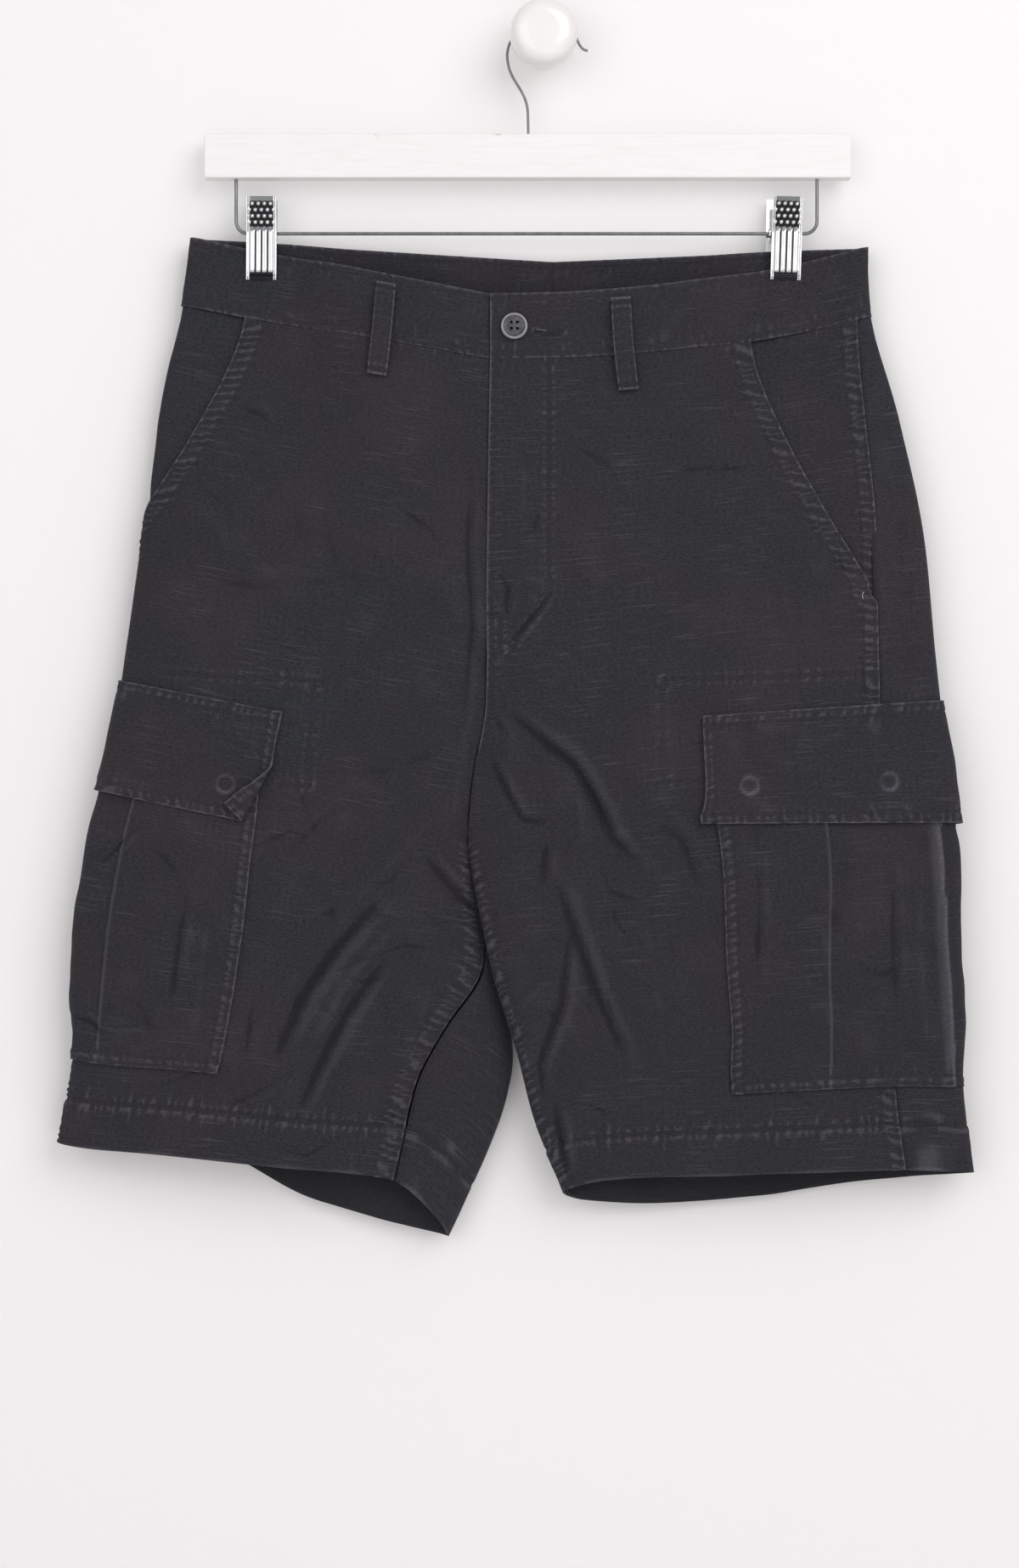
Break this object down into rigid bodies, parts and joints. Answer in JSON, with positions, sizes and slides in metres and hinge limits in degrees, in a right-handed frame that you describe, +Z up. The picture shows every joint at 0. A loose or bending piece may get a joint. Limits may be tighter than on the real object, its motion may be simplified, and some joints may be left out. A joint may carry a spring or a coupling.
{
  "type": "cargo shorts on a clip hanger and a round wall knob",
  "caption": "Knee-length cotton cargo shorts with bellows side pockets, clipped by the waistband to a wooden trouser hanger on a wall knob.",
  "frame": {"origin": "middle of the knob's flat back, where it meets the wall", "axes": "+Y into the wall, +Z up, +X to the right seen from the front"},
  "size_m": [0.5849, 0.0493, 0.7886],
  "materials": {
    "canvas": "washed black cotton canvas, matte",
    "canvas_inside": "inner face of the same canvas, matte",
    "button": "grey horn-like resin, satin",
    "painted_wood": "white satin paint",
    "wire": "drawn steel wire, bright",
    "chrome": "chromed pressed steel",
    "knob_paint": "white gloss enamel"
  },
  "bodies": {
    "root": {"front_right": "canvas", "front_left": "canvas", "back_right": "canvas", "back_left": "canvas", "waistband_right": "canvas", "waistband_left": "canvas", "cargo_pocket_right": "canvas", "cargo_pocket_left": "canvas", "cargo_flap_right": "canvas", "cargo_flap_left": "canvas", "belt_loop_front_right": "canvas", "belt_loop_front_left": "canvas", "belt_loop_back_right": "canvas", "belt_loop_back_left": "canvas", "belt_loop_centre_back": "canvas", "pocket_facing_right": "canvas_inside", "pocket_facing_left": "canvas_inside", "fly_shield": "canvas_inside", "hem_right": "canvas_inside", "hem_left": "canvas_inside", "waist_button": "button", "hanger_bar": "painted_wood", "hanger_hook": "wire", "clip_wire": "wire", "clip_right_front": "chrome", "clip_right_back": "chrome", "clip_left_front": "chrome", "clip_left_back": "chrome", "wall_knob": "knob_paint"}
  },
  "joints": []
}
